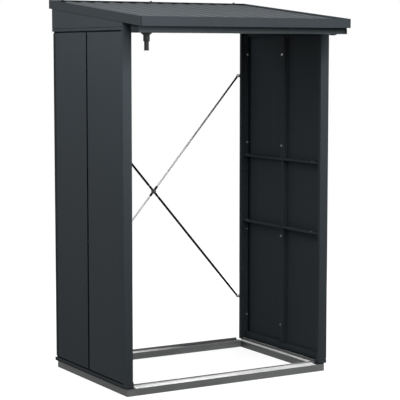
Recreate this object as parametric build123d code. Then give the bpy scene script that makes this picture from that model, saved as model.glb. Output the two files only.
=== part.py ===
import math
import os

from build123d import *

# A sheet-steel log store: aluminium base frame, folded walls, ribbed roof, gutter and rear cross brace.
# Lengths are in millimetres, X runs to the right, Y to the back and Z up from the ground.

# Driving sizes of the whole store
overall_width = 1230.0
overall_height = 1990.0
wall_depth = 810.0
front_overhang = 190.0
back_overhang = 37.0
roof_fall = 108.0
sheet = 2.0
fold_radius = 3.0
cut_overrun = 10.0

# Driving sizes of the base frame
base_inset = 16.5
base_front_step = 2.5
base_back_step = 4.5
rail_width = 49.0
rail_height = 37.0
rail_wall = 4.0
sill_rise = 6.0
lip_height = 6.0
back_upstand_height = 11.0
side_upstand_height = 13.0
upstand_thickness = 3.0
side_upstand_setback = 29.5

# Driving sizes of the side walls
wall_thickness = 50.0
wall_cavity = 10.0
post_depth = 20.0
post_lip = 12.0
corner_radius = 18.0
corner_wrap = 24.0
foot_seat_height = 4.0
foot_seat_width = 18.0
foot_strip_height = 19.0
foot_plate_height = 44.0
skin_gap = 8.0
gable_gap = 8.5
gable_front_height = 39.8
fold_above_joint = 18.5
fold_groove_depth = 1.4
fold_groove_height = 3.0
verge_groove_height = 2.0
panel_joint_share = 0.4902
joint_groove = 14.5
joint_hat_depth = 23.0
joint_hat_lap = 16.0
joint_foot_width = 16.0
tie_rail_depth = 33.0
tie_rail_height = 9.0
upper_tie_share = 0.5648
lower_tie_share = 0.3738
head_rail_below = 18.0
head_rail_above = 17.0
head_rail_depth = 22.0

# Driving sizes of the foot brackets
bracket_width = 26.0
bracket_length = 38.0
bracket_height = 22.0
bracket_thickness = 3.0

# Driving sizes of the roof
trim_height = 47.0
rib_pitch = 85.0
rib_base = 40.0
rib_top = 18.0
rib_height = 5.5
valley_drop = 10.5
trim_flange = 20.0
fascia_lip = 14.0
beam_depth = 40.0
beam_hang = 30.0

# Driving sizes of the gutter and its hose spout
gutter_setback = 28.0
gutter_depth = 75.0
gutter_hang = 31.0
gutter_front_wall = 54.0
gutter_end_gap = 11.0
sheet_over_gutter = 22.0
spout_from_end = 66.0
spout_collar_radius = 27.0
spout_upper_radius = 16.0
spout_lower_radius = 11.7
spout_bore_radius = 9.0
spout_rim_height = 3.0
spout_cone_height = 8.0
spout_upper_height = 29.0
spout_step_height = 2.5
spout_lower_height = 43.0

# Driving sizes of the rear cross brace
brace_low_share = 0.1474
brace_high_share = 0.7921
brace_tab_reach = 9.5
brace_tab_lap = 24.0
brace_tab_thickness = 3.0
brace_eye_radius = 9.0
brace_eye_hole = 5.0
brace_eye_thickness = 5.0
brace_rod_radius = 4.0
brace_sleeve_radius = 6.5
brace_sleeve_length = 20.0
brace_taper_length = 12.0
brace_clevis_radius = 6.0
brace_clevis_length = 24.0
brace_ring_radius = 13.0
brace_ring_hole = 7.0
brace_ring_thickness = 10.0

# Plan of the roof, walls and base, with the origin under the middle of the roof
overall_depth = front_overhang + wall_depth + back_overhang
roof_side = overall_width / 2
roof_front = -overall_depth / 2
roof_back = overall_depth / 2
wall_front = roof_front + front_overhang
wall_back = wall_front + wall_depth
wall_inside = roof_side - sheet
cavity_inside = wall_inside - wall_cavity
post_inside = roof_side - wall_thickness
post_back = wall_back - sheet
frame_front = wall_front + post_depth
frame_back = wall_back - post_depth
base_side = roof_side - base_inset
base_inside = base_side - rail_width
base_front = wall_front - base_front_step
base_back = wall_back + base_back_step
upstand_side = base_inside + side_upstand_setback
foot_inside = upstand_side + upstand_thickness


def roof_top(y):
    """Height of the trims' sloping top edge at depth y."""
    return overall_height - roof_fall * (roof_back - y) / overall_depth


# Heights from the ground up
foot_underside = rail_height + foot_seat_height
foot_floor = foot_underside + sheet
foot_strip_top = foot_underside + foot_strip_height
foot_plate_top = foot_floor + foot_plate_height
skin_bottom = foot_strip_top + skin_gap
wall_joint_height = roof_top(wall_front) - trim_height - gable_front_height
skin_top = wall_joint_height - gable_gap / 2
gable_bottom = wall_joint_height + gable_gap / 2
head_rail_bottom = wall_joint_height - head_rail_below
head_rail_top = wall_joint_height + head_rail_above
upper_tie_top = overall_height * upper_tie_share
lower_tie_top = overall_height * lower_tie_share
fascia_top = roof_top(roof_front)
fascia_bottom = fascia_top - trim_height
gutter_floor_height = fascia_bottom - gutter_hang
sheet_drop = valley_drop + sheet


def slab(x_low, x_high, y_low, y_high, z_low, z_high):
    """A box between two corners, for cuts and flat plates."""
    box = Box(x_high - x_low, y_high - y_low, z_high - z_low)
    return Pos((x_low + x_high) / 2, (y_low + y_high) / 2, (z_low + z_high) / 2) * box


def outline(points):
    """A face inside a closed line of corners."""
    return make_face(Polyline(*points, close=True))


def folded(path, side, radius=0):
    """The section of a folded sheet: one face follows the path, the sheet lies on the given side of it."""
    line = FilletPolyline(*path, radius=radius) if radius else Polyline(*path)
    return make_face(offset(line, sheet, side=side, kind=Kind.INTERSECTION).edges())


def across(section, x_low, x_high):
    """A Y and Z section drawn out along X."""
    return extrude(Plane.YZ.offset(x_low) * section, x_high - x_low)


def along(section, y_low, y_high):
    """An X and Z section drawn out along Y."""
    return extrude(Pos(0, y_low, 0) * (Plane.XZ * section), y_high - y_low, dir=(0, 1, 0))


def upright(section, z_low, z_high):
    """An X and Y section drawn up along Z."""
    return extrude(Pos(0, 0, z_low) * section, z_high - z_low)


def sloping(y_low, y_high, x_low, x_high, top_drop, bottom_drop):
    """A plate that follows the roof between two drops below the trims' top edge."""
    corners = [
        (y_low, roof_top(y_low) - top_drop),
        (y_high, roof_top(y_high) - top_drop),
        (y_high, roof_top(y_high) - bottom_drop),
        (y_low, roof_top(y_low) - bottom_drop),
    ]
    return across(outline(corners), x_low, x_high)


pieces = {}


def both_sides(name, shape):
    """Keep a right-hand piece and its mirror image on the left."""
    pieces["right_" + name] = shape
    pieces["left_" + name] = mirror(shape, about=Plane.YZ)


# Base frame: open-bottomed rails, the side ones closed at their ends and running the whole depth
sill_top = rail_height + sill_rise
sill_back = base_front + rail_width
front_rail = [
    (base_front, 0),
    (base_front, rail_height),
    (sill_back - upstand_thickness, sill_top),
    (sill_back - upstand_thickness, sill_top + lip_height),
    (sill_back, sill_top + lip_height),
    (sill_back, 0),
    (sill_back - rail_wall, 0),
    (sill_back - rail_wall, sill_top - rail_wall),
    (base_front + rail_wall, rail_height - rail_wall),
    (base_front + rail_wall, 0),
]
pieces["base_front_rail"] = across(outline(front_rail), -base_inside, base_inside)

back_rail_front = base_back - rail_width
back_rail = [
    (back_rail_front, 0),
    (back_rail_front, rail_height),
    (base_back - upstand_thickness, rail_height),
    (base_back - upstand_thickness, rail_height + back_upstand_height),
    (base_back, rail_height + back_upstand_height),
    (base_back, 0),
    (base_back - rail_wall, 0),
    (base_back - rail_wall, rail_height - rail_wall),
    (back_rail_front + rail_wall, rail_height - rail_wall),
    (back_rail_front + rail_wall, 0),
]
pieces["base_back_rail"] = across(outline(back_rail), -base_inside, base_inside)

side_rail = [
    (base_inside, 0),
    (base_inside, rail_height),
    (upstand_side, rail_height),
    (upstand_side, rail_height + side_upstand_height),
    (foot_inside, rail_height + side_upstand_height),
    (foot_inside, rail_height),
    (base_side, rail_height),
    (base_side, 0),
    (base_side - rail_wall, 0),
    (base_side - rail_wall, rail_height - rail_wall),
    (base_inside + rail_wall, rail_height - rail_wall),
    (base_inside + rail_wall, 0),
]
side_rail_shape = along(outline(side_rail), base_front, base_back)
upstand_zone = (upstand_side - cut_overrun, foot_inside + cut_overrun)
upstand_cut_top = rail_height + side_upstand_height + cut_overrun
for y_low, y_high in ((base_front, frame_front), (frame_back, base_back)):
    side_rail_shape -= slab(*upstand_zone, y_low, y_high, rail_height, upstand_cut_top)
for y_low, y_high in ((base_front, base_front + rail_wall), (base_back - rail_wall, base_back)):
    side_rail_shape += slab(base_inside, base_side, y_low, y_high, 0, rail_height)
both_sides("base_rail", side_rail_shape)

# Wall foot rails: a tray on the base with an outer strip below the skins and a plate behind them
foot_section = [
    (foot_inside, rail_height),
    (foot_inside + foot_seat_width, rail_height),
    (foot_inside + foot_seat_width, foot_underside),
    (roof_side, foot_underside),
    (roof_side, foot_strip_top),
    (wall_inside, foot_strip_top),
    (wall_inside, foot_floor),
    (cavity_inside, foot_floor),
    (cavity_inside, foot_plate_top),
    (cavity_inside - sheet, foot_plate_top),
    (cavity_inside - sheet, foot_floor),
    (foot_inside, foot_floor),
]
foot_rail = along(outline(foot_section), wall_front, wall_back)
plate_cut_top = foot_plate_top + cut_overrun
for y_low, y_high in ((wall_front, frame_front), (frame_back, wall_back)):
    foot_rail -= slab(post_inside, wall_inside, y_low, y_high, foot_floor, plate_cut_top)
both_sides("foot_rail", foot_rail)

# Posts: lipped channels that stand in the foot rails, cut to the roof's fall
front_post_path = [
    (post_inside + post_lip, frame_front),
    (post_inside, frame_front),
    (post_inside, wall_front),
    (wall_inside, wall_front),
    (wall_inside, frame_front),
    (wall_inside - post_lip, frame_front),
]
corner_cut = corner_radius - sheet
back_post_path = [
    (post_inside + post_lip, frame_back),
    (post_inside, frame_back),
    (post_inside, post_back),
    (wall_inside - corner_cut, post_back),
    (wall_inside, post_back - corner_cut),
    (wall_inside, frame_back),
    (wall_inside - post_lip, frame_back),
]
under_trims = sloping(roof_front, roof_back, 0, roof_side, trim_height, overall_height)
under_trims += slab(0, roof_side, roof_front, roof_back, 0, fascia_bottom)
for name, path, side in (
    ("front_post", front_post_path, Side.LEFT),
    ("back_post", back_post_path, Side.RIGHT),
):
    both_sides(name, upright(folded(path, side), foot_floor, overall_height) & under_trims)

# Wall skins: two tall panels a side, the front one's hat fold lapped behind the back one
panel_joint = wall_front + wall_depth * panel_joint_share
groove_front = panel_joint - joint_groove / 2
groove_back = panel_joint + joint_groove / 2
hat_inside = wall_inside - joint_hat_depth
hat_face = hat_inside + sheet
hat_back = groove_back + joint_hat_lap
foot_end = hat_back + joint_foot_width
tie_inside = wall_inside - tie_rail_depth
front_panel_path = [
    (roof_side, wall_front),
    (roof_side, groove_front),
    (hat_face, groove_front),
    (hat_face, hat_back),
    (wall_inside, hat_back),
    (wall_inside, foot_end),
]
back_panel_path = [
    (roof_side - corner_wrap, wall_back),
    (roof_side, wall_back),
    (roof_side, groove_back),
]
front_panel = upright(folded(front_panel_path, Side.LEFT, fold_radius), skin_bottom, skin_top)
back_panel = upright(folded(back_panel_path, Side.RIGHT, corner_radius), skin_bottom, skin_top)
fold_gaps = (
    (skin_bottom - cut_overrun, foot_plate_top),
    (lower_tie_top - tie_rail_height, lower_tie_top),
    (upper_tie_top - tie_rail_height, upper_tie_top),
    (head_rail_bottom, skin_top + cut_overrun),
)
for z_low, z_high in fold_gaps:
    front_panel -= slab(
        hat_inside - cut_overrun,
        wall_inside,
        groove_front - cut_overrun,
        foot_end + cut_overrun,
        z_low,
        z_high,
    )
both_sides("front_panel", front_panel)
both_sides("back_panel", back_panel)

# Tie rails: shallow channels across the inside of each wall, open towards the skin
for name, top in (("upper_tie_rail", upper_tie_top), ("lower_tie_rail", lower_tie_top)):
    low = top - tie_rail_height
    tie_path = [(wall_inside, top), (tie_inside, top), (tie_inside, low), (wall_inside, low)]
    both_sides(name, along(folded(tie_path, Side.LEFT), frame_front, frame_back))

# Head rails: an angle behind the joint between the skins and the gables
head_path = [
    (cavity_inside, head_rail_top),
    (cavity_inside, head_rail_bottom),
    (cavity_inside - head_rail_depth, head_rail_bottom),
]
both_sides("head_rail", along(folded(head_path, Side.RIGHT), frame_front, frame_back))

# Gables: tapering sheets between the wall joint and the roof trim, with a fold line and a shadow line
gable_corners = [
    (wall_front, gable_bottom),
    (wall_back, gable_bottom),
    (wall_back, roof_top(wall_back) - trim_height),
    (wall_front, roof_top(wall_front) - trim_height),
]
fold_line = wall_joint_height + fold_above_joint
gable = across(outline(gable_corners), wall_inside, roof_side)
gable -= slab(
    roof_side - fold_groove_depth,
    roof_side + cut_overrun,
    wall_front - cut_overrun,
    wall_back + cut_overrun,
    fold_line - fold_groove_height / 2,
    fold_line + fold_groove_height / 2,
)
gable -= sloping(
    wall_front - cut_overrun,
    wall_back + cut_overrun,
    roof_side - fold_groove_depth,
    roof_side + cut_overrun,
    trim_height - cut_overrun,
    trim_height + verge_groove_height,
)
both_sides("gable", gable)

# Foot brackets: angles that hold the front posts down to the base
bracket_outer = upstand_side - sheet
bracket_top = foot_floor + bracket_height
bracket_plate_top = rail_height + bracket_thickness
bracket_section = [
    (frame_front, rail_height),
    (frame_front, bracket_top),
    (frame_front + bracket_thickness, bracket_top),
    (frame_front + bracket_thickness, bracket_plate_top),
    (frame_front + bracket_length, bracket_plate_top),
    (frame_front + bracket_length, rail_height),
]
bracket = across(outline(bracket_section), bracket_outer - bracket_width, bracket_outer)
both_sides("foot_bracket", bracket)

# Gutter: a channel under the front overhang with an outlet hole near its left end
gutter_front = roof_front + gutter_setback
gutter_back = gutter_front + gutter_depth
gutter_side = wall_inside - sheet
gutter_top = gutter_floor_height + gutter_front_wall
spout_x = -roof_side + spout_from_end
spout_y = (gutter_front + gutter_back) / 2


def sheet_underside(y):
    """Height of the roof sheet's valleys from below at depth y."""
    return roof_top(y) - sheet_drop


gutter_back_top = sheet_underside(gutter_back - sheet)
gutter_path = [
    (gutter_front, gutter_top),
    (gutter_front, gutter_floor_height),
    (gutter_back, gutter_floor_height),
    (gutter_back, gutter_back_top),
]
gutter = across(folded(gutter_path, Side.LEFT), -gutter_side, gutter_side)
outlet = Pos(spout_x, spout_y, gutter_floor_height) * Cylinder(spout_bore_radius, cut_overrun)
pieces["gutter"] = gutter - outlet

gutter_end_drop = trim_height + gutter_end_gap
gutter_end = [
    (gutter_front, gutter_floor_height),
    (gutter_front, roof_top(gutter_front) - gutter_end_drop),
    (gutter_back, roof_top(gutter_back) - gutter_end_drop),
    (gutter_back, gutter_floor_height),
]
both_sides("gutter_end", across(outline(gutter_end), gutter_side, wall_inside))

# Hose spout: a stepped tube that takes two sizes of hose
spout_rim = gutter_floor_height - spout_rim_height
spout_neck = spout_rim - spout_cone_height
spout_step = spout_neck - spout_upper_height
spout_tail = spout_step - spout_step_height
spout_end = spout_tail - spout_lower_height
spout_section = [
    (spout_bore_radius, gutter_floor_height),
    (spout_collar_radius, gutter_floor_height),
    (spout_collar_radius, spout_rim),
    (spout_upper_radius, spout_neck),
    (spout_upper_radius, spout_step),
    (spout_lower_radius, spout_tail),
    (spout_lower_radius, spout_end),
    (spout_bore_radius, spout_end),
]
spout = revolve(Plane.XZ * outline(spout_section), Axis.Z)
pieces["hose_spout"] = Pos(spout_x, spout_y, 0) * spout

# Roof sheet: ribs down the slope, its front edge over the gutter
sheet_front = gutter_front + sheet_over_gutter
sheet_back = roof_back - sheet
rib_count = math.floor((wall_inside - rib_base / 2) / rib_pitch)
upper_line = [(-wall_inside, 0)]
for rib in range(-rib_count, rib_count + 1):
    rib_x = rib * rib_pitch
    upper_line += [
        (rib_x - rib_base / 2, 0),
        (rib_x - rib_top / 2, rib_height),
        (rib_x + rib_top / 2, rib_height),
        (rib_x + rib_base / 2, 0),
    ]
upper_line.append((wall_inside, 0))
lower_line = [(x, z - sheet) for x, z in reversed(upper_line)]
sheet_section = Plane.XZ * outline(upper_line + lower_line)
sheet_run = sheet_back - sheet_front
sheet_rise = roof_top(sheet_back) - roof_top(sheet_front)
sheet_length = math.hypot(sheet_run, sheet_rise)
sheet_start = Pos(0, sheet_front, roof_top(sheet_front) - valley_drop) * sheet_section
pieces["roof_sheet"] = extrude(sheet_start, sheet_length, dir=(0, sheet_run, sheet_rise))

# Roof trims: side verges with seats for the sheet, the front fascia and the back trim
trim_front = roof_front + sheet
trim_back = roof_back - sheet
seat_inside = wall_inside - trim_flange
verge = sloping(trim_front, trim_back, wall_inside, roof_side, 0, trim_height)
verge += sloping(wall_front, wall_back, post_inside, wall_inside, trim_height - sheet, trim_height)
verge += sloping(gutter_back, trim_back, seat_inside, wall_inside, sheet_drop, sheet_drop + sheet)
both_sides("verge", verge)

fascia_path = [
    (roof_front, fascia_top),
    (roof_front, fascia_bottom),
    (roof_front + fascia_lip, fascia_bottom),
]
back_flange_front = trim_back - trim_flange
back_trim_path = [
    (roof_back, overall_height - trim_height),
    (roof_back, overall_height),
    (back_flange_front, roof_top(back_flange_front)),
]
fascia = across(folded(fascia_path, Side.LEFT), -roof_side, roof_side)
back_trim = across(folded(back_trim_path, Side.LEFT), -roof_side, roof_side)
for x_low, x_high in ((-roof_side, -wall_inside), (wall_inside, roof_side)):
    room = slab(x_low, x_high, trim_front, trim_back, 0, overall_height)
    fascia -= room
    back_trim -= room
pieces["front_fascia"] = fascia
pieces["back_trim"] = back_trim


# Roof beams: channels between the posts that carry the sheet
def roof_beam(y_web, y_web_inside, y_open):
    """A channel with its web at y_web, its open side at y_open and its top under the sheet."""
    bottom = roof_top(y_web) - trim_height - beam_hang
    section = [
        (y_web, bottom),
        (y_open, bottom),
        (y_open, bottom + sheet),
        (y_web_inside, bottom + sheet),
        (y_web_inside, sheet_underside(y_web_inside) - sheet),
        (y_open, sheet_underside(y_open) - sheet),
        (y_open, sheet_underside(y_open)),
        (y_web, sheet_underside(y_web)),
    ]
    return across(outline(section), -post_inside, post_inside)


pieces["front_beam"] = roof_beam(wall_front, wall_front + sheet, wall_front + beam_depth)
pieces["back_beam"] = roof_beam(post_back, post_back - sheet, post_back - beam_depth)

# Rear cross brace: four rods from a middle ring to tabs on the back posts
brace_low = overall_height * brace_low_share
brace_high = overall_height * brace_high_share
brace_middle = (brace_low + brace_high) / 2
eye_front = post_back + brace_tab_thickness
brace_y = eye_front + brace_eye_thickness / 2
eye_x = post_inside - brace_tab_reach
ring_front = brace_y - brace_ring_thickness / 2


def disc(radius, x, z):
    """A round X and Z section."""
    return Pos(x, z) * Circle(radius)


def brace_tab_section(eye_z):
    """The right-hand tab's round-ended outline."""
    lap_end = post_inside + brace_tab_lap
    bar = Rectangle(lap_end - eye_x, 2 * brace_eye_radius)
    return disc(brace_eye_radius, eye_x, eye_z) + Pos((eye_x + lap_end) / 2, eye_z) * bar


def brace_rod(eye_z):
    """A turned rod from the ring to the right-hand eye, sleeved at the ring and forked at the eye."""
    start = Vector(0, brace_y, brace_middle)
    line = Vector(eye_x, brace_y, eye_z) - start
    sleeve_end = brace_ring_radius + brace_sleeve_length
    clevis_end = line.length - (brace_eye_radius + brace_eye_hole) / 2
    clevis_start = clevis_end - brace_clevis_length
    section = [
        (0, 0),
        (brace_sleeve_radius, 0),
        (brace_sleeve_radius, sleeve_end),
        (brace_rod_radius, sleeve_end + brace_taper_length),
        (brace_rod_radius, clevis_start - brace_taper_length),
        (brace_clevis_radius, clevis_start),
        (brace_clevis_radius, clevis_end),
        (0, clevis_end),
    ]
    rod = Plane(origin=start, z_dir=line) * revolve(Plane.XZ * outline(section), Axis.Z)
    eye_back = eye_front + brace_eye_thickness
    rod += along(disc(brace_eye_radius, eye_x, eye_z), eye_front, eye_back)
    rod -= along(disc(brace_eye_hole, eye_x, eye_z), eye_front - cut_overrun, eye_back + cut_overrun)
    rod -= along(brace_tab_section(eye_z), eye_front - cut_overrun, eye_front)
    ring_reach = (ring_front - cut_overrun, ring_front + brace_ring_thickness + cut_overrun)
    return rod - along(disc(brace_ring_radius, 0, brace_middle), *ring_reach)


for level, eye_z in (("lower", brace_low), ("upper", brace_high)):
    tab_section = brace_tab_section(eye_z) - disc(brace_eye_hole, eye_x, eye_z)
    both_sides(level + "_brace_rod", brace_rod(eye_z))
    both_sides(level + "_brace_tab", along(tab_section, post_back, eye_front))

ring_section = disc(brace_ring_radius, 0, brace_middle) - disc(brace_ring_hole, 0, brace_middle)
pieces["brace_ring"] = along(ring_section, ring_front, ring_front + brace_ring_thickness)

# One file for each piece
os.makedirs("parts", exist_ok=True)
for name, shape in pieces.items():
    export_step(shape, f"parts/{name}.step")
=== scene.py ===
import math

import bmesh
import bpy
from mathutils import Matrix, Vector


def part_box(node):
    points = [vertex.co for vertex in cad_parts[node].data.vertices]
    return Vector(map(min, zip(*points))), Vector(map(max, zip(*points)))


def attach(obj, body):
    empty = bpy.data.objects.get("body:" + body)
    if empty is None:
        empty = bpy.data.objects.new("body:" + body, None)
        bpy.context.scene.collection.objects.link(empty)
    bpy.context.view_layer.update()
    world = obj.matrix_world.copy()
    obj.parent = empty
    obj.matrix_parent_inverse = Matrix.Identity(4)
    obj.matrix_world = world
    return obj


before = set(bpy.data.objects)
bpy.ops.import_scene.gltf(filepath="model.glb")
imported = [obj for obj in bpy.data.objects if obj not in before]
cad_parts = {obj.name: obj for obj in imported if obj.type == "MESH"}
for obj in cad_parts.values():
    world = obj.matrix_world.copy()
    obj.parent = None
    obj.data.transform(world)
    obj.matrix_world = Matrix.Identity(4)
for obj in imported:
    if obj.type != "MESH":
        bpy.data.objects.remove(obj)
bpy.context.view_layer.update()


# Base frame: four extruded aluminium rails laid flat and butted at the corners.
# Their bright treads and grey sides are painted light and shade in greys set rail by rail, with painted
# shade on the treads under the posts.
# Fine die lines run along the length of each rail.
def node(tree, kind, inputs=None, **settings):
    """Add a shader node, set its own settings, and fill its sockets with values or other sockets."""
    made = tree.nodes.new("ShaderNode" + kind)
    for name, value in settings.items():
        setattr(made, name, value)
    for socket, value in (inputs or {}).items():
        if isinstance(value, bpy.types.NodeSocket):
            tree.links.new(value, made.inputs[socket])
        else:
            made.inputs[socket].default_value = value
    return made


def place_on(tree):
    """The place of a point on its piece."""
    return node(tree, "TexCoord").outputs["Object"]


def stretched(tree, place, scale):
    """A place drawn out by a scale along each axis."""
    return node(tree, "Mapping", {"Vector": place, "Scale": scale}).outputs["Vector"]


def noise(tree, place, scale, detail, roughness):
    """The value of a soft noise at a place."""
    inputs = {"Vector": place, "Scale": scale, "Detail": detail, "Roughness": roughness}
    return node(tree, "TexNoise", inputs).outputs["Fac"]


def ranged(tree, value, span, onto=(0.0, 1.0)):
    """A value carried from one span on to another, and held at the ends."""
    inputs = {
        "Value": value,
        "From Min": span[0],
        "From Max": span[1],
        "To Min": onto[0],
        "To Max": onto[1],
    }
    return node(tree, "MapRange", inputs).outputs["Result"]


def worked(tree, operation, *values):
    """The result of one Math node."""
    return node(tree, "Math", dict(enumerate(values)), operation=operation).outputs["Value"]


def raised(tree, value, share, start):
    """A start value raised by a share of another value."""
    return worked(tree, "MULTIPLY_ADD", value, share, start)


def dotted(tree, first, second):
    """How far a vector reaches along another."""
    made = node(tree, "VectorMath", {0: first, 1: second}, operation="DOT_PRODUCT")
    return made.outputs["Value"]


def blended(tree, share, first, second):
    """A mix of two colours, which a Mix node takes at its sockets 6 and 7 and puts out at 2."""
    made = node(tree, "Mix", {0: share, 6: first, 7: second}, data_type="RGBA")
    return made.outputs[2]


def tinted(tree, colour, shade):
    """A colour made darker or lighter by a factor."""
    made = node(tree, "VectorMath", {0: colour, "Scale": shade}, operation="SCALE")
    return made.outputs["Vector"]


def bumped(tree, height, strength, distance, **inputs):
    """A normal roughened by a height."""
    inputs = {"Height": height, "Strength": strength, "Distance": distance, **inputs}
    return node(tree, "Bump", inputs).outputs["Normal"]


def new_group(name, inputs, outputs):
    """Start a node group; returns it with the sockets that it is given and those that it gives."""
    tree = bpy.data.node_groups.new(name, "ShaderNodeTree")
    for socket, kind in inputs.items():
        made = tree.interface.new_socket(socket, in_out="INPUT", socket_type="NodeSocket" + kind)
        if kind == "Float":
            made.default_value = 1.0
    for socket, kind in outputs.items():
        tree.interface.new_socket(socket, in_out="OUTPUT", socket_type="NodeSocket" + kind)
    return tree, tree.nodes.new("NodeGroupInput").outputs, tree.nodes.new("NodeGroupOutput").inputs


def give(tree, result, outputs):
    """Join what a group gives to its output sockets."""
    for socket, value in outputs.items():
        tree.links.new(value, result[socket])


# A band of shade: what came before is multiplied by a factor that sets in along an axis.
shade_band, given, result = new_group(
    "shade_band",
    {"Before": "Float", "Axis": "Vector", "Start": "Float", "Full": "Float", "Shade": "Float"},
    {"Shade": "Float"},
)
reached = dotted(shade_band, place_on(shade_band), given["Axis"])
falling = ranged(shade_band, reached, (given["Start"], given["Full"]), (1.0, given["Shade"]))
give(shade_band, result, {"Shade": worked(shade_band, "MULTIPLY", given["Before"], falling)})


def new_finish(name, texture, values, constants, bands=()):
    """A material whose Principled BSDF takes what changes over the surface from a texture group.

    Each band shades it along an axis: direction, where the shade starts, where it is full, factor.
    """
    finish = bpy.data.materials.new(name)
    finish.use_nodes = True
    tree = finish.node_tree
    shader = tree.nodes["Principled BSDF"]
    for socket, value in constants.items():
        shader.inputs[socket].default_value = value
    shade = 1.0
    for axis, start, full, factor in bands:
        sign = sum(axis)
        inputs = {
            "Before": shade,
            "Axis": axis,
            "Start": sign * start,
            "Full": sign * full,
            "Shade": factor,
        }
        shade = node(tree, "Group", inputs, node_tree=shade_band).outputs["Shade"]
    if bands:
        values = {**values, "Shade": shade}
    for socket in node(tree, "Group", values, node_tree=texture).outputs:
        tree.links.new(socket, shader.inputs[socket.name])
    return finish


def dress(finish, *names):
    """Give CAD nodes a finish."""
    for name in names:
        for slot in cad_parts[name].material_slots:
            slot.material = finish


# Aluminium from the die, streaked by the die's lines; its tread and side greys are painted light and
# shade.
extrusion, given, result = new_group(
    "extruded_aluminium",
    {
        "Tread": "Color",
        "Shaded Tread": "Color",
        "Side": "Color",
        "Far Side": "Color",
        "Shade": "Float",
        "Line Scale": "Vector",
        "Roughness": "Float",
        "Along": "Vector",
        "Far From": "Float",
        "Far To": "Float",
        "Tread Shade From": "Float",
        "Tread Shade To": "Float",
        "Tread Shine": "Float",
        "Side Shine": "Float",
    },
    {"Base Color": "Color", "Metallic": "Float", "Roughness": "Float", "Normal": "Vector"},
)
noise_span = (0.3, 0.7)
place = place_on(extrusion)
drawn = stretched(extrusion, place, given["Line Scale"])
lines = noise(extrusion, drawn, scale=1.0, detail=3.0, roughness=0.6)
clouds = noise(extrusion, place, scale=9.0, detail=4.0, roughness=0.55)
facing = node(extrusion, "SeparateXYZ", {"Vector": node(extrusion, "NewGeometry").outputs["Normal"]})
# Which way a face points splits it into tread and side, whose greys are painted light and shade.
tread = ranged(extrusion, facing.outputs["Z"], (0.6, 0.9))
along = dotted(extrusion, place, given["Along"])
# Over its span the tread turns to its second grey, which is painted shade.
tread_shaded = ranged(extrusion, along, (given["Tread Shade From"], given["Tread Shade To"]))
# Along the rail the sides turn to their second grey, as painted light and shade.
farther = ranged(extrusion, along, (given["Far From"], given["Far To"]))
upper = blended(extrusion, tread_shaded, given["Tread"], given["Shaded Tread"])
upright = blended(extrusion, farther, given["Side"], given["Far Side"])
streaks = ranged(extrusion, lines, noise_span, (0.82, 1.1))
patches = ranged(extrusion, clouds, noise_span, (0.93, 1.06))
shade = worked(extrusion, "MULTIPLY", worked(extrusion, "MULTIPLY", streaks, patches), given["Shade"])
give(
    extrusion,
    result,
    {
        "Base Color": tinted(extrusion, blended(extrusion, tread, upright, upper), shade),
        "Metallic": ranged(extrusion, tread, (0.0, 1.0), (given["Side Shine"], given["Tread Shine"])),
        "Roughness": raised(extrusion, lines, share=0.22, start=given["Roughness"]),
        "Normal": bumped(extrusion, lines, strength=0.12, distance=0.0004),
    },
)


def dress_rail(rail, along, treads, tread_shine, tread_shade_span, sides, side_shine, far_span, gleam, bands=()):
    """Dress a base rail in painted light and shade; its tread and its sides change from a first grey to a
    second along it.
    """
    line_scale_along, line_scale_across = 3.0, 520.0
    tread_tint = (1.0, 1.0, 0.99)
    side_tint = (0.97, 1.0, 1.01)
    tread_tone, shaded_tread_tone = ((*(grey * part for part in tread_tint), 1.0) for grey in treads)
    side_tone, far_side_tone = ((*(grey * part for part in side_tint), 1.0) for grey in sides)
    aluminium = new_finish(
        rail + "_aluminium",
        extrusion,
        {
            "Tread": tread_tone,
            "Shaded Tread": shaded_tread_tone,
            "Side": side_tone,
            "Far Side": far_side_tone,
            "Line Scale": tuple(line_scale_along if part else line_scale_across for part in along),
            "Roughness": 0.34,
            "Along": along,
            "Far From": far_span[0],
            "Far To": far_span[1],
            "Tread Shade From": tread_shade_span[0],
            "Tread Shade To": tread_shade_span[1],
            "Tread Shine": tread_shine,
            "Side Shine": side_shine,
        },
        {"Specular IOR Level": gleam},
        bands,
    )
    dress(aluminium, rail)


rightward, leftward, forward = (1, 0, 0), (-1, 0, 0), (0, -1, 0)
upward, downward = (0, 0, 1), (0, 0, -1)
across_store = (0.0, 0.55)
front_rail_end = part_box("base_front_rail")[1].x
side_rail_end = -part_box("left_base_rail")[0].y
# Painted light: the side rails' front end faces take a lighter second grey.
painted_light_front_end = (side_rail_end - 0.0015, side_rail_end - 0.0005)
post_back = -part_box("left_front_post")[1].y
# Painted shade: the side rails' treads turn dark under the posts.
shade_under_posts = (post_back - 0.0085, post_back + 0.0035)
wall_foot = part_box("left_foot_rail")[0].z
under_wall_shadow = (upward, wall_foot - 0.012, wall_foot - 0.002, 0.72)
# Painted shade: the front rail darkens towards its left.
painted_shade_left = (leftward, 0.40, -0.15, 0.70)
# The front rail's tread turns to painted shade under the right post, the back rail's towards the right,
# where its face is painted lighter.
dress_rail(
    "base_front_rail",
    along=rightward,
    treads=(0.98, 0.05),
    tread_shine=0.20,
    tread_shade_span=(front_rail_end - 0.0095, front_rail_end + 0.0005),
    sides=(0.172, 0.142),
    side_shine=0.60,
    far_span=across_store,
    gleam=0.3,
    bands=(painted_shade_left,),
)
dress_rail(
    "base_back_rail",
    along=rightward,
    treads=(0.80, 0.05),
    tread_shine=0.00,
    tread_shade_span=(-0.16, 0.20),
    sides=(0.168, 0.275),
    side_shine=0.25,
    far_span=across_store,
    gleam=0.02,
)
dress_rail(
    "left_base_rail",
    along=forward,
    treads=(0.60, 0.05),
    tread_shine=0.20,
    tread_shade_span=shade_under_posts,
    sides=(0.068, 0.126),
    side_shine=0.70,
    far_span=painted_light_front_end,
    gleam=0.3,
    bands=(under_wall_shadow,),
)
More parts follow.
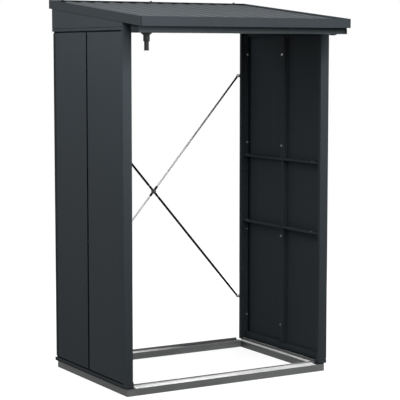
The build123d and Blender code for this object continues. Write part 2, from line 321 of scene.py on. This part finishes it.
dress_rail(
    "right_base_rail",
    along=forward,
    treads=(0.98, 0.05),
    tread_shine=0.00,
    tread_shade_span=shade_under_posts,
    sides=(0.098, 0.142),
    side_shine=0.70,
    far_span=painted_light_front_end,
    gleam=0.3,
)


# Side walls: galvanised sheet, folded and powder coated in anthracite.
# Each wall is two tall skins on a foot rail, two lipped posts, two tie rails and a head rail.
# The coat is satin, with the faint orange peel and cloudiness of a sprayed powder.

# Powder coat: clouds and rain runs in its colour, peel in its surface, a worn tone on the edges.
# Past a line near its back edge a wall's outer face takes painted shade, and Flatten evens the light on
# the roof's ribs.
powder, given, result = new_group(
    "powder_coat",
    {
        "Coat": "Color",
        "Worn": "Color",
        "Roughness": "Float",
        "Peel": "Float",
        "Seam": "Float",
        "Shade": "Float",
        "Flatten": "Float",
    },
    {"Base Color": "Color", "Roughness": "Float", "Normal": "Vector"},
)
wall_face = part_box("right_back_panel")[1].x
front_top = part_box("left_front_post")[1]
back_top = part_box("left_back_post")[1]
roof_slope = (back_top.z - front_top.z) / (back_top.y - front_top.y)
roof_upward = Vector((0, -roof_slope, 1)).normalized()
place = place_on(powder)
peel = noise(powder, place, scale=620.0, detail=2.0, roughness=0.5)
clouds = noise(powder, place, scale=2.3, detail=4.0, roughness=0.5)
rain = stretched(powder, place, (26.0, 26.0, 0.9))
runs = noise(powder, rain, scale=1.0, detail=3.0, roughness=0.6)
softened = node(powder, "Bevel", {"Radius": 0.0016}, samples=4).outputs["Normal"]
turned = dotted(powder, softened, node(powder, "NewGeometry").outputs["True Normal"])
edge = ranged(powder, turned, (0.97, 0.80), (0.0, 0.22))
body = ranged(powder, clouds, noise_span, (0.955, 1.045))
trails = ranged(powder, runs, noise_span, (0.975, 1.025))
shade = worked(powder, "MULTIPLY", worked(powder, "MULTIPLY", body, trails), given["Shade"])
position = node(powder, "SeparateXYZ", {"Vector": place}).outputs
from_middle = worked(powder, "ABSOLUTE", position["X"])
# Painted shade: a wall's outer face darkens behind a line near its back edge.
outer = ranged(powder, from_middle, (wall_face - 0.0065, wall_face - 0.0045))
behind = worked(powder, "SUBTRACT", position["Y"], given["Seam"])
back_shade = worked(powder, "MULTIPLY", outer, ranged(powder, behind, (0.0, 0.008)))
darker = ranged(powder, back_shade, (0.0, 1.0), (1.0, 0.36))
sprayed = tinted(powder, tinted(powder, given["Coat"], shade), darker)
rise = node(powder, "SeparateXYZ", {"Vector": softened}).outputs["Z"]
sky_side = ranged(powder, rise, (0.3, 0.6), (0.0, given["Flatten"]))
levelled = node(powder, "Mix", {0: sky_side, 4: softened, 5: roof_upward}, data_type="VECTOR").outputs[1]
level = node(powder, "VectorMath", {0: levelled}, operation="NORMALIZE").outputs["Vector"]
give(
    powder,
    result,
    {
        "Base Color": blended(powder, edge, sprayed, given["Worn"]),
        "Roughness": raised(powder, clouds, share=0.10, start=given["Roughness"]),
        "Normal": bumped(powder, peel, strength=given["Peel"], distance=0.0005, Normal=level),
    },
)

no_back_shade = 9.0


def new_coat(name, coat, worn, roughness, bands=(), peel=0.10, back_shade=no_back_shade, flatten=0.0, gleam=0.03):
    """A powder coat of its own colour, with the colour of its worn edges."""
    values = {
        "Coat": (*coat, 1.0),
        "Worn": (*worn, 1.0),
        "Roughness": roughness,
        "Peel": peel,
        "Seam": back_shade,
        "Flatten": flatten,
    }
    return new_finish(name, powder, values, {"Specular IOR Level": gleam}, bands)


anthracite = {"coat": (0.0409, 0.0487, 0.0548), "worn": (0.056, 0.065, 0.071), "roughness": 0.52}
# Painted shade: a dark line down the back edge of each back panel's outer face.
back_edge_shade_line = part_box("left_back_panel")[1].y - 0.0475
hem_shadow = (downward, wall_foot + 0.0145, wall_foot + 0.0120, 0.36)
# Painted shade: the back panels darken towards the bottom and the right wall's front panel is painted
# darker.
painted_shade_low = (downward, 0.90, 0.10, 0.87)
painted_shade_right = (rightward, 0.0, 0.3, 0.91)
wall_coat = new_coat("wall_coat", **anthracite)
foot_coat = new_coat("foot_coat", **anthracite, bands=(hem_shadow,))
back_panel_coat = new_coat("back_panel_coat", **anthracite, bands=(painted_shade_low,), back_shade=back_edge_shade_line)
front_panel_coat = new_coat("front_panel_coat", **anthracite, bands=(painted_shade_right,))
wall_finishes = {
    "foot_rail": foot_coat,
    "front_post": wall_coat,
    "back_post": wall_coat,
    "front_panel": front_panel_coat,
    "back_panel": back_panel_coat,
    "upper_tie_rail": wall_coat,
    "lower_tie_rail": wall_coat,
    "head_rail": wall_coat,
    "gable": wall_coat,
}
for piece, finish in wall_finishes.items():
    dress(finish, "left_" + piece, "right_" + piece)


# Closing strips: black foam rubber glued along the head rails, behind the gap under each gable.
# Plugs of it fill the foot of each wall's groove, and strips close the slots behind the fascia.
# They keep rain and light from passing where the folded sheets do not meet, and their near-black is
# painted shade in those gaps.
def finished(shape, name, finish):
    """Turn a bmesh into a piece that rides on the store."""
    mesh = bpy.data.meshes.new(name)
    shape.to_mesh(mesh)
    shape.free()
    piece = bpy.data.objects.new(name, mesh)
    bpy.context.scene.collection.objects.link(piece)
    mesh.materials.append(finish)
    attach(piece, "root")


def rubber_block(shape, low, high):
    """Add a block of foam with rounded edges to a mesh, between two opposite corners."""
    rounding_share = 0.08
    low, high = Vector(low), Vector(high)
    size = Vector(abs(there - here) for here, there in zip(low, high))
    block = bmesh.ops.create_cube(
        shape,
        size=1.0,
        matrix=Matrix.Translation((low + high) / 2) @ Matrix.Diagonal((*size, 1.0)),
    )
    bmesh.ops.bevel(
        shape,
        geom=list({edge for corner in block["verts"] for edge in corner.link_edges}),
        offset=min(size) * rounding_share,
        affect="EDGES",
        segments=3,
        profile=0.5,
        material=-1,
    )


# Foam closures in form, whose near-black is painted shade for the gaps they fill.
gap_shade_rubber = new_coat(
    "gap_shade_rubber", (0.010, 0.010, 0.011), (0.014, 0.014, 0.015), roughness=0.80, peel=0.60
)
both_sides = (("left", -1), ("right", 1))
strip_height = 0.008
strip_below_joint = 0.003
groove_width = 0.0145
plug_overlap = 0.006
plug_foot = 0.020
plug_rise = 0.014
for side, turn in both_sides:
    rail_low, rail_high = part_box(side + "_head_rail")
    gable_low, gable_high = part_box(side + "_gable")
    skin_low, skin_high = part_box(side + "_back_panel")
    plate_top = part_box(side + "_foot_rail")[1].z
    inner_x = turn * max(abs(rail_low.x), abs(rail_high.x))
    outer_x = turn * min(abs(gable_low.x), abs(gable_high.x))
    strip_top = skin_high.z - strip_below_joint
    closing_strip = bmesh.new()
    rubber_block(
        closing_strip,
        (inner_x, rail_low.y, strip_top - strip_height),
        (outer_x, rail_high.y, strip_top),
    )
    finished(closing_strip, side + "_closing_strip", gap_shade_rubber)
    groove_front = skin_low.y - groove_width
    fold_plug = bmesh.new()
    rubber_block(
        fold_plug,
        (inner_x, groove_front - plug_overlap, plate_top - plug_foot),
        (outer_x, skin_low.y + plug_overlap, plate_top),
    )
    rubber_block(
        fold_plug,
        (inner_x, groove_front, plate_top - plug_foot),
        (outer_x, skin_low.y, plate_top + plug_rise),
    )
    finished(fold_plug, side + "_fold_plug", gap_shade_rubber)

fascia_low, fascia_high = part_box("front_fascia")
gutter_low, gutter_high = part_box("gutter")
fascia_lip = 0.002
strip_tuck = strip_height / 2
end_strip_width = 0.004
end_strip_height = 0.0135
slot_strip = bmesh.new()
rubber_block(
    slot_strip,
    (gutter_low.x, fascia_high.y - strip_tuck, fascia_low.z + fascia_lip),
    (gutter_high.x, gutter_low.y, fascia_low.z + fascia_lip + strip_height),
)
for side, turn in both_sides:
    plate_low, plate_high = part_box(side + "_gutter_end")
    outer_x = turn * max(abs(plate_low.x), abs(plate_high.x))
    rubber_block(
        slot_strip,
        (outer_x - turn * end_strip_width, plate_low.y, plate_high.z),
        (outer_x, plate_high.y, plate_high.z + end_strip_height),
    )
finished(slot_strip, "fascia_closing_strip", gap_shade_rubber)


# Wall bolts: zinc-plated flange bolts that clamp the skins' folds, the post lips and the tie rails.
# Four stand one above the other on the middle fold and four on the back post's outer lip.
# One more sits on top of each tie rail near either end. The wall bolts' zinc is dimmed downwards by
# painted shade, and the tie bolts' is a darker copy, also painted shade.
def flange_bolt(shape, at, outward, across_flats, head_height, flange_radius, flange_height):
    """Add a hexagon head with a round flange to a mesh, standing on a surface that faces outward."""
    flange_taper = 0.86
    head_seat = flange_height * 0.9
    rim_share = 0.09
    same_level = 1e-5
    outward = Vector(outward).normalized()
    seat = Matrix.Translation(at) @ outward.to_track_quat("Z", "Y").to_matrix().to_4x4()
    bmesh.ops.create_cone(
        shape,
        cap_ends=True,
        segments=20,
        radius1=flange_radius,
        radius2=flange_radius * flange_taper,
        depth=flange_height,
        matrix=seat @ Matrix.Translation((0, 0, flange_height / 2)),
    )
    head = bmesh.ops.create_cone(
        shape,
        cap_ends=True,
        segments=6,
        radius1=across_flats / math.sqrt(3),
        radius2=across_flats / math.sqrt(3),
        depth=head_height,
        matrix=seat @ Matrix.Translation((0, 0, head_seat + head_height / 2)),
    )
    top = (seat @ Vector((0, 0, head_seat + head_height))).dot(outward)
    rim = {
        edge
        for corner in head["verts"]
        for edge in corner.link_edges
        if all(abs(end.co.dot(outward) - top) < same_level for end in edge.verts)
    }
    bmesh.ops.bevel(
        shape,
        geom=list(rim),
        offset=across_flats * rim_share,
        affect="EDGES",
        segments=2,
        profile=0.5,
        material=-1,
    )


# Zinc plate: mottled by its bloom in colour, gloss and surface.
zinc, given, result = new_group(
    "zinc_plate",
    {"Plate": "Color", "Roughness": "Float", "Shade": "Float"},
    {"Base Color": "Color", "Roughness": "Float", "Normal": "Vector"},
)
bloom = noise(zinc, place_on(zinc), scale=240.0, detail=3.0, roughness=0.6)
shade = worked(zinc, "MULTIPLY", ranged(zinc, bloom, noise_span, (0.80, 1.12)), given["Shade"])
give(
    zinc,
    result,
    {
        "Base Color": tinted(zinc, given["Plate"], shade),
        "Roughness": raised(zinc, bloom, share=0.18, start=given["Roughness"]),
        "Normal": bumped(zinc, bloom, strength=0.08, distance=0.0003),
    },
)

# Painted shade: the wall bolts' zinc dims downwards.
painted_shade_upper = (downward, 1.60, 1.25, 0.33)
painted_shade_lower = (downward, 1.10, 0.25, 0.70)
bolt_zinc = new_finish(
    "bolt_zinc",
    zinc,
    {"Plate": (0.88, 0.89, 0.895, 1.0), "Roughness": 0.38},
    {"Metallic": 0.25},
    (painted_shade_upper, painted_shade_lower),
)
# Painted shade: the tie bolts' zinc is a darker copy of the wall bolts'.
shaded_zinc = new_finish(
    "shaded_zinc",
    zinc,
    {"Plate": (0.13, 0.135, 0.14, 1.0), "Roughness": 0.45},
    {"Metallic": 0.30},
)
bolt_flange_height = 0.0014
wall_bolt = {
    "across_flats": 0.009,
    "head_height": 0.0026,
    "flange_radius": 0.0066,
    "flange_height": bolt_flange_height,
}
bolt_heights = (0.185, 0.689, 1.194, 1.698)
fold_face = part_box("right_front_panel")[0].x
fold_bolt_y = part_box("right_back_panel")[0].y + 0.0052
lip_bolt_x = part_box("right_back_post")[1].x - 0.007
tie_low, tie_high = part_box("right_upper_tie_rail")
tie_bolt_x = tie_low.x + 0.017
tie_bolt_ends = (tie_low.y + 0.1035, tie_high.y - 0.0215)
for side, turn in both_sides:
    bolts = bmesh.new()
    lip_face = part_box(side + "_back_post")[0].y
    for height in bolt_heights:
        flange_bolt(bolts, Vector((turn * fold_face, fold_bolt_y, height)), (-turn, 0, 0), **wall_bolt)
        flange_bolt(bolts, Vector((turn * lip_bolt_x, lip_face, height)), forward, **wall_bolt)
    finished(bolts, side + "_wall_bolts", bolt_zinc)
    tie_bolts = bmesh.new()
    for rail in ("upper", "lower"):
        rail_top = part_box(f"{side}_{rail}_tie_rail")[1].z
        for end in tie_bolt_ends:
            flange_bolt(tie_bolts, Vector((turn * tie_bolt_x, end, rail_top)), upward, **wall_bolt)
    finished(tie_bolts, side + "_tie_bolts", shaded_zinc)


# Foot brackets: small folded steel angles that hold the front posts down to the base.
# They are coated like the walls, and one screw each goes down into the rail.
screw = {
    "across_flats": 0.010,
    "head_height": 0.005,
    "flange_radius": 0.0075,
    "flange_height": bolt_flange_height,
}
bracket_plate = 0.003
screw_share = 0.6
bracket_screws = bmesh.new()
for bracket in ("left_foot_bracket", "right_foot_bracket"):
    dress(wall_coat, bracket)
    low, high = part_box(bracket)
    hole = Vector(((low.x + high.x) / 2, low.y + (high.y - low.y) * screw_share, low.z + bracket_plate))
    flange_bolt(bracket_screws, hole, upward, **screw)
finished(bracket_screws, "bracket_screws", bolt_zinc)


# Roof: one ribbed sheet in a frame of folded trims, carried by two channel beams.
# It is coated steel like the walls, in darker copies of their anthracite as painted shade, and the trims
# are shaded at the fascia's corner joints.
# Three coated bolts hold the back trim down.
joint_start = fascia_high.x - 0.007
joint_full = fascia_high.x - 0.005
left_joint = (leftward, -joint_start, -joint_full, 0.50)
right_joint = (rightward, joint_start, joint_full, 0.62)
# Painted shade: the roof, trim and verge coats are darker copies of the walls' anthracite.
roof_coat = new_coat(
    "roof_coat",
    (0.0305, 0.0354, 0.0390),
    (0.050, 0.057, 0.062),
    roughness=0.50,
    flatten=0.40,
    gleam=0.05,
)
trim_coat = new_coat(
    "trim_coat",
    (0.0358, 0.0423, 0.0472),
    (0.060, 0.069, 0.075),
    roughness=0.46,
    bands=(left_joint, right_joint),
)
verge_coat = new_coat("verge_coat", (0.0333, 0.0394, 0.0441), (0.052, 0.060, 0.066), roughness=0.46)
dress(roof_coat, "roof_sheet")
dress(trim_coat, "front_fascia", "back_trim")
dress(verge_coat, "left_verge", "right_verge")
dress(wall_coat, "front_beam", "back_beam")

trim_bolt = {**screw, "head_height": 0.004, "flange_height": 0.0015}
trim_bolt_xs = (-0.540, 0.0, 0.540)
trim_bolt_setback = 0.010
trim_bolt_sink = 0.0012
trim_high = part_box("back_trim")[1]
trim_bolts = bmesh.new()
for x in trim_bolt_xs:
    seat = Vector((x, trim_high.y - trim_bolt_setback, trim_high.z - trim_bolt_sink))
    flange_bolt(trim_bolts, seat, roof_upward, **trim_bolt)
finished(trim_bolts, "trim_bolts", wall_coat)


# Gutter: a folded channel hung under the front overhang, closed by a plate at each end.
# Its coat is a lighter copy of the walls' as painted light, painted shade darkens it to the right, it is
# darker at its right end, and the end plates' darker coat is painted shade.
# A black plastic spout of two diameters screws into its floor near the left end.
# Painted shade darkens the gutter along to the right, and it is darker at its right end.
painted_shade_along = (rightward, -0.30, 0.60, 0.84)
dark_right_end = (rightward, gutter_high.x - 0.022, gutter_high.x - 0.016, 0.62)
gutter_coat = new_coat(
    "gutter_coat",
    (0.0490, 0.0575, 0.0640),
    (0.066, 0.075, 0.082),
    roughness=0.46,
    bands=(painted_shade_along, dark_right_end),
)
# Painted shade: the end plates' coat is a darker copy of the gutter's.
shaded_gutter_end_coat = new_coat(
    "shaded_gutter_end_coat", (0.0157, 0.0183, 0.0209), (0.022, 0.025, 0.028), roughness=0.50
)
dress(gutter_coat, "gutter")
dress(shaded_gutter_end_coat, "left_gutter_end", "right_gutter_end")

# Moulded plastic: flow marks in its colour and the mould's stipple in its surface.
moulded, given, result = new_group(
    "moulded_plastic",
    {"Plastic": "Color", "Roughness": "Float", "Shade": "Float"},
    {"Base Color": "Color", "Roughness": "Float", "Normal": "Vector"},
)
place = place_on(moulded)
stipple = noise(moulded, place, scale=900.0, detail=2.0, roughness=0.5)
flow = noise(moulded, place, scale=45.0, detail=3.0, roughness=0.5)
shade = worked(moulded, "MULTIPLY", ranged(moulded, flow, noise_span, (0.85, 1.15)), given["Shade"])
give(
    moulded,
    result,
    {
        "Base Color": tinted(moulded, given["Plastic"], shade),
        "Roughness": raised(moulded, flow, share=0.15, start=given["Roughness"]),
        "Normal": bumped(moulded, stipple, strength=0.15, distance=0.0003),
    },
)
collar_height = 0.040
spout_step = gutter_low.z - collar_height
step_shadow = (downward, spout_step + 0.008, spout_step + 0.005, 0.30)
step_shadow_end = (downward, spout_step - 0.002, spout_step - 0.005, 3.30)
spout_plastic = new_finish(
    "spout_plastic",
    moulded,
    {"Plastic": (0.013, 0.014, 0.014, 1.0), "Roughness": 0.42},
    {"Specular IOR Level": 0.20},
    (step_shadow, step_shadow_end),
)
dress(spout_plastic, "hose_spout")


# Outlet plug: a black plastic cap pressed into a second outlet hole near the gutter's right end.
# It is the twin of the spout's collar, moulded with a low knob to pull it out by.
spout_low, spout_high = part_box("hose_spout")
spout_middle = (spout_low + spout_high) / 2
plug_radius = 0.020
plug_rim = 0.005
rim_wall = plug_rim * 0.6
rim_chamfer = plug_rim * 0.4
knob_radius = 0.012
knob_tip = knob_radius * 0.9
knob_drop = 0.0065
merge_gap = 1e-5
section = (
    (0.0, 0.0),
    (plug_radius, 0.0),
    (plug_radius, -rim_wall),
    (plug_radius - rim_chamfer, -plug_rim),
    (knob_radius, -plug_rim),
    (knob_tip, -knob_drop),
    (0.0, -knob_drop),
)
outlet_plug = bmesh.new()
rim_points = [outlet_plug.verts.new((radius, 0, depth)) for radius, depth in section]
rim_edges = [outlet_plug.edges.new(pair) for pair in zip(rim_points, rim_points[1:])]
bmesh.ops.spin(
    outlet_plug,
    geom=rim_points + rim_edges,
    cent=(0, 0, 0),
    axis=upward,
    dvec=(0, 0, 0),
    angle=2 * math.pi,
    steps=32,
    use_merge=True,
)
bmesh.ops.remove_doubles(outlet_plug, verts=outlet_plug.verts, dist=merge_gap)
bmesh.ops.recalc_face_normals(outlet_plug, faces=outlet_plug.faces)
bmesh.ops.translate(
    outlet_plug,
    vec=(-spout_middle.x, spout_middle.y, gutter_low.z),
    verts=outlet_plug.verts,
)
finished(outlet_plug, "outlet_plug", spout_plastic)


# Rear cross brace: four steel rods from a middle ring to round-ended tabs on the back posts.
# The pair that falls to the right is painted dark and the other bright, darkening to its ends: painted
# light and shade on like rods.
# A skin of its own finish thickens each shaft, and bolts and nuts hold the ring and each eye.
ring_low, ring_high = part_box("brace_ring")
ring_middle = (ring_low + ring_high) / 2
sleeve_end = 0.034
sleeve_edge = 0.002

# Sleeved rod: a dark sleeve by the ring, then the rod's colour, which turns into that of its far end, a
# darker colour that is painted shade.
sleeved, given, result = new_group(
    "sleeved_rod",
    {"Rod": "Color", "Sleeve": "Color", "Shaded End": "Color", "Roughness": "Float"},
    {"Base Color": "Color", "Roughness": "Float", "Normal": "Vector"},
)
place = place_on(sleeved)
reach = node(sleeved, "VectorMath", {0: place, 1: ring_middle}, operation="DISTANCE").outputs["Value"]
beyond = ranged(sleeved, reach, (sleeve_end, sleeve_end + sleeve_edge))
farther = ranged(sleeved, reach, (0.30, 0.80))
bloom = noise(sleeved, place, scale=180.0, detail=3.0, roughness=0.6)
shaft_tone = blended(sleeved, farther, given["Rod"], given["Shaded End"])
tone = blended(sleeved, beyond, given["Sleeve"], shaft_tone)
give(
    sleeved,
    result,
    {
        "Base Color": tinted(sleeved, tone, ranged(sleeved, bloom, noise_span, (0.84, 1.10))),
        "Roughness": raised(sleeved, bloom, share=0.18, start=given["Roughness"]),
        "Normal": bumped(sleeved, bloom, strength=0.08, distance=0.0003),
    },
)
# Painted light and shade: one pair of rods dark, the other bright with painted shade towards its far
# ends.
shaded_rod = new_finish(
    "shaded_rod",
    sleeved,
    {
        "Rod": (0.0060, 0.0062, 0.0065, 1.0),
        "Sleeve": (0.0050, 0.0052, 0.0054, 1.0),
        "Shaded End": (0.0050, 0.0052, 0.0054, 1.0),
        "Roughness": 0.50,
    },
    {"Specular IOR Level": 0.02},
)
lit_rod = new_finish(
    "lit_rod",
    sleeved,
    {
        "Rod": (0.72, 0.73, 0.73, 1.0),
        "Sleeve": (0.0080, 0.0083, 0.0086, 1.0),
        "Shaded End": (0.0060, 0.0062, 0.0065, 1.0),
        "Roughness": 0.40,
    },
    {"Metallic": 0.35, "Specular IOR Level": 0.02},
)
ring_zinc = new_finish(
    "ring_zinc",
    zinc,
    {"Plate": (0.095, 0.098, 0.10, 1.0), "Roughness": 0.36},
    {"Metallic": 0.6},
)
tab_zinc = new_finish(
    "tab_zinc",
    zinc,
    {"Plate": (0.80, 0.81, 0.81, 1.0), "Roughness": 0.42},
    {"Metallic": 0.1},
)
dress(ring_zinc, "brace_ring")

shaft_from = 0.046
shaft_short = 0.036
eye_reach = 0.0095
eye_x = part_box("right_back_post")[0].x - eye_reach
for finish, shaft_radius, rods in (
    (shaded_rod, 0.0064, (("left_upper", -1), ("right_lower", 1))),
    (lit_rod, 0.0053, (("left_lower", -1), ("right_upper", 1))),
):
    shafts = bmesh.new()
    for rod, turn in rods:
        dress(finish, rod + "_brace_rod")
        tab_low, tab_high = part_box(rod + "_brace_tab")
        eye = Vector((turn * eye_x, ring_middle.y, (tab_low.z + tab_high.z) / 2))
        line = eye - ring_middle
        shaft = line.length - shaft_from - shaft_short
        middle = ring_middle + line.normalized() * (shaft_from + shaft / 2)
        bmesh.ops.create_cone(
            shafts,
            cap_ends=True,
            segments=16,
            radius1=shaft_radius,
            radius2=shaft_radius,
            depth=shaft,
            matrix=Matrix.Translation(middle) @ line.to_track_quat("Z", "Y").to_matrix().to_4x4(),
        )
    finished(shafts, finish.name + "_shafts", finish)

backward = (0, 1, 0)
eye_bolt = {**screw, "flange_radius": 0.00675}
fork_cheek = 0.005
eye_bolts = bmesh.new()
for side, turn in both_sides:
    for level in ("lower", "upper"):
        tab = f"{side}_{level}_brace_tab"
        dress(tab_zinc, tab)
        low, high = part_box(tab)
        height = (low.z + high.z) / 2
        flange_bolt(eye_bolts, Vector((turn * eye_x, low.y, height)), forward, **eye_bolt)
        flange_bolt(eye_bolts, Vector((turn * eye_x, high.y + fork_cheek, height)), backward, **eye_bolt)
finished(eye_bolts, "eye_bolts", tab_zinc)

middle_bolt = {
    "across_flats": 0.013,
    "head_height": 0.006,
    "flange_radius": 0.0095,
    "flange_height": bolt_flange_height,
}
ring_bolt = bmesh.new()
for face, outward in ((ring_low.y, forward), (ring_high.y, backward)):
    flange_bolt(ring_bolt, Vector((ring_middle.x, face, ring_middle.z)), outward, **middle_bolt)
finished(ring_bolt, "ring_bolt", ring_zinc)


# Studio: a pale painted floor that keeps a faint shadow, in a plain white surround.
# Large soft lamps stand around the store and light it at a plain level.
# The camera looks at it from the front left, a little above the middle.
def looked_at(tree):
    """One where the floor or the surround is seen, by eye or in metal or glass."""
    ray = node(tree, "LightPath").outputs
    by_eye_or_gloss = worked(tree, "MAXIMUM", ray["Is Camera Ray"], ray["Is Glossy Ray"])
    return worked(tree, "MAXIMUM", by_eye_or_gloss, ray["Is Transmission Ray"])


# The floor glows white away from the store and a little less near it, so the shadow stays.
white = (1, 1, 1, 1)
floor_grey = (0.25, 0.25, 0.25, 1.0)
floor_reach = 14.0
near_store = (1.0, 3.2)
near_glow = 0.84
floor_shape = bmesh.new()
bmesh.ops.create_grid(floor_shape, x_segments=1, y_segments=1, size=floor_reach)
floor_mesh = bpy.data.meshes.new("floor")
floor_shape.to_mesh(floor_mesh)
floor_shape.free()
floor = bpy.data.objects.new("floor", floor_mesh)
bpy.context.scene.collection.objects.link(floor)
floor_paint = bpy.data.materials.new("floor_paint")
floor_paint.use_nodes = True
tree = floor_paint.node_tree
tree.nodes.remove(tree.nodes["Principled BSDF"])
away = node(tree, "VectorMath", {0: place_on(tree)}, operation="LENGTH").outputs["Value"]
whiter = ranged(tree, away, near_store, (near_glow, 1.0))
glow = worked(tree, "MULTIPLY", looked_at(tree), whiter)
pale = node(tree, "BsdfDiffuse", {"Color": floor_grey})
lit = node(tree, "Emission", {"Color": white, "Strength": glow})
both = node(tree, "AddShader", {0: pale.outputs["BSDF"], 1: lit.outputs["Emission"]})
tree.links.new(both.outputs["Shader"], tree.nodes["Material Output"].inputs["Surface"])
floor_mesh.materials.append(floor_paint)

surround_light = 0.01
world = bpy.data.worlds.new("surround")
bpy.context.scene.world = world
world.use_nodes = True
tree = world.node_tree
strength = ranged(tree, looked_at(tree), (0.0, 1.0), (surround_light, 1.0))
tree.links.new(strength, tree.nodes["Background"].inputs["Strength"])
tree.nodes["Background"].inputs["Color"].default_value = white

store_middle = (0, 0, 1.3)
for lamp_name, at, aim, size, power in (
    ("left_softbox", (-1.8, -0.4, 4.0), store_middle, 1.8, 73.0),
    ("left_front_softbox", (-1.6, -1.6, 3.8), store_middle, 1.6, 36.0),
    ("near_left_softbox", (-0.75, -1.3, 1.82), (-0.59, -0.27, 1.55), 0.5, 3.5),
    ("front_softbox", (-0.5, -2.5, 2.9), store_middle, 2.0, 34.0),
    ("right_front_softbox", (1.6, -2.2, 3.2), store_middle, 1.8, 48.0),
    ("middle_right_softbox", (0.62, -2.3, 3.3), (0.4, 0, 0.6), 0.9, 31.0),
    ("top_left_softbox", (-0.9, 0.4, 4.4), store_middle, 1.6, 38.0),
    ("back_left_softbox", (-2.6, 2.2, 3.0), store_middle, 1.8, 21.0),
    ("back_right_softbox", (2.4, 2.6, 1.5), (0, 0, 1.1), 2.0, 60.0),
    ("right_softbox", (2.9, 0.5, 1.2), (0.6, 0.1, 1.0), 1.8, 60.0),
):
    lamp = bpy.data.lights.new(lamp_name, "AREA")
    lamp.size = size
    lamp.energy = power
    holder = bpy.data.objects.new(lamp_name, lamp)
    holder.location = at
    holder.rotation_euler = (Vector(aim) - Vector(at)).to_track_quat("-Z", "Y").to_euler()
    bpy.context.scene.collection.objects.link(holder)

camera_yaw = math.radians(30.5123)
camera_pitch = math.radians(5.8133)
camera = bpy.data.cameras.new("camera")
camera.sensor_width = 36.0
camera.lens = 130.312
camera.clip_end = 60.0
viewer = bpy.data.objects.new("camera", camera)
viewer.location = (-3.8821, -6.6154, 1.7089)
viewer.rotation_euler = (math.pi / 2 - camera_pitch, 0, -camera_yaw)
bpy.context.scene.collection.objects.link(viewer)
bpy.context.scene.camera = viewer
bpy.context.scene.view_settings.view_transform = "Standard"
